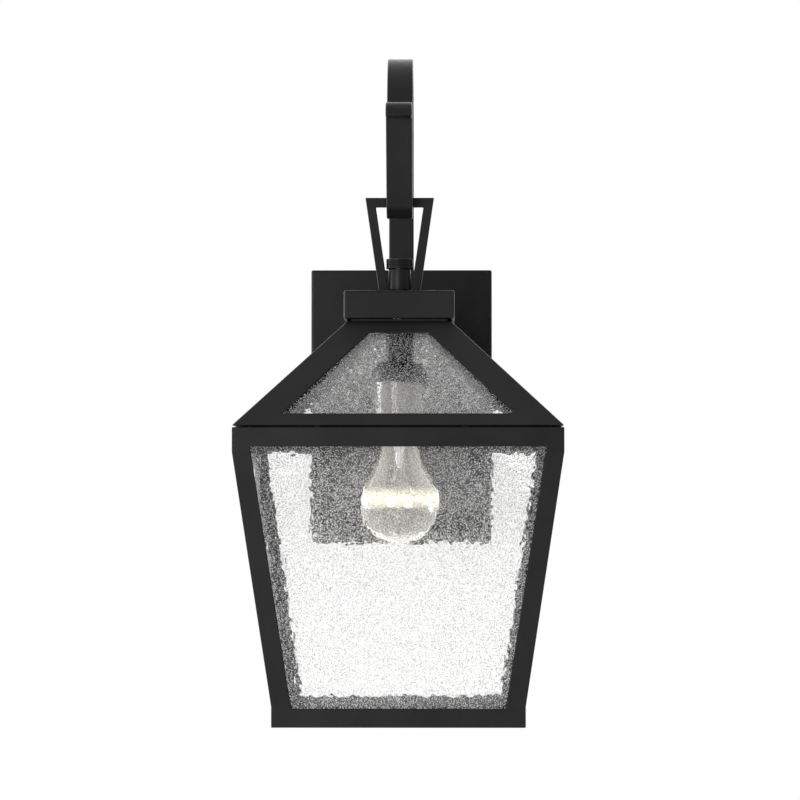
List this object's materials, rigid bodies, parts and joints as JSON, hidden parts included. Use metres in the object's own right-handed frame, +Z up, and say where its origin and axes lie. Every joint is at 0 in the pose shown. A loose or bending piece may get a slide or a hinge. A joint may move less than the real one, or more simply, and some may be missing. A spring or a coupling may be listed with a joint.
{
  "type": "outdoor wall lantern",
  "caption": "Tapered square glazed lantern with a hipped glass roof, hung by a trapezoid loop from a shepherd's-hook arm on a rectangular wall plate.",
  "frame": {"origin": "centre of the wall plate, on the wall plane, which is the crossbar's back face", "axes": "+Z up, +Y into the wall, so the lantern hangs towards -Y, and +X to the right seen from the front"},
  "size_m": [0.2404, 0.2922, 0.5122],
  "materials": {
    "black_paint": "fine matte black powder coat",
    "seeded_glass": "clear seeded, finely rippled",
    "bulb_glass": "clear, thin, smooth",
    "zinc_plate": "zinc plated",
    "brass": "stamped, lightly dulled",
    "porcelain": "white glazed porcelain",
    "foam_gasket": "closed-cell foam",
    "green_paint": "green ground screw",
    "filament": "glowing tungsten wire"
  },
  "bodies": {
    "wall_mount": {"backplate": "black_paint", "wall_gasket": "foam_gasket", "mounting_crossbar": "zinc_plate", "crossbar_stud_left": "zinc_plate", "crossbar_stud_right": "zinc_plate", "cap_nut_left": "black_paint", "cap_nut_right": "black_paint", "ground_screw": "green_paint", "hook_arm": "black_paint", "arm_screw_lower": "black_paint", "arm_screw_upper": "black_paint"},
    "lantern": {"hanging_loop": "black_paint", "stem_tube": "black_paint", "stem_ring_nut": "black_paint", "cap_block": "black_paint", "roof_crown": "black_paint", "socket_sleeve": "black_paint", "socket_cup": "black_paint", "roof_hip_front_left": "black_paint", "corner_post_front_left": "black_paint", "roof_hip_front_right": "black_paint", "corner_post_front_right": "black_paint", "roof_hip_back_right": "black_paint", "corner_post_back_right": "black_paint", "roof_hip_back_left": "black_paint", "corner_post_back_left": "black_paint", "roof_rail_front": "black_paint", "top_rail_front": "black_paint", "bottom_rail_front": "black_paint", "roof_pane_front": "seeded_glass", "body_pane_front": "seeded_glass", "roof_rail_right": "black_paint", "top_rail_right": "black_paint", "bottom_rail_right": "black_paint", "roof_pane_right": "seeded_glass", "body_pane_right": "seeded_glass", "roof_rail_back": "black_paint", "top_rail_back": "black_paint", "bottom_rail_back": "black_paint", "roof_pane_back": "seeded_glass", "body_pane_back": "seeded_glass", "roof_rail_left": "black_paint", "top_rail_left": "black_paint", "bottom_rail_left": "black_paint", "roof_pane_left": "seeded_glass", "body_pane_left": "seeded_glass", "roof_tab_front_left": "black_paint", "roof_tab_front_right": "black_paint", "roof_tab_back_left": "black_paint", "roof_tab_back_right": "black_paint", "cap_gasket": "foam_gasket", "stem_nipple": "zinc_plate", "socket_body": "porcelain", "socket_shell": "brass", "socket_contact": "brass"},
    "bulb_thread": {"bulb_contact": "brass"},
    "bulb": {"bulb_envelope": "bulb_glass", "bulb_base": "brass", "filament_mount": "zinc_plate", "filament": "filament"}
  },
  "joints": [
    {"name": "lantern_swing", "type": "hinge", "parent": "wall_mount", "child": "lantern", "pos_m": [0, -0.172, 0.1498], "axis": [1, 0, 0], "range_deg": [-15, 6]},
    {"name": "bulb_feed", "type": "slide", "parent": "lantern", "child": "bulb_thread", "axis": [0, 0, -1], "range_m": [0, 0.02177]},
    {"name": "bulb_turn", "type": "hinge", "parent": "bulb_thread", "child": "bulb", "pos_m": [0, -0.172, -0.0788], "axis": [0, 0, -1], "range_deg": [0, 2160]}
  ],
  "couplings": [
    {"joint": "bulb_turn", "follows": "bulb_feed", "rad_per_m": 1731.4}
  ]
}
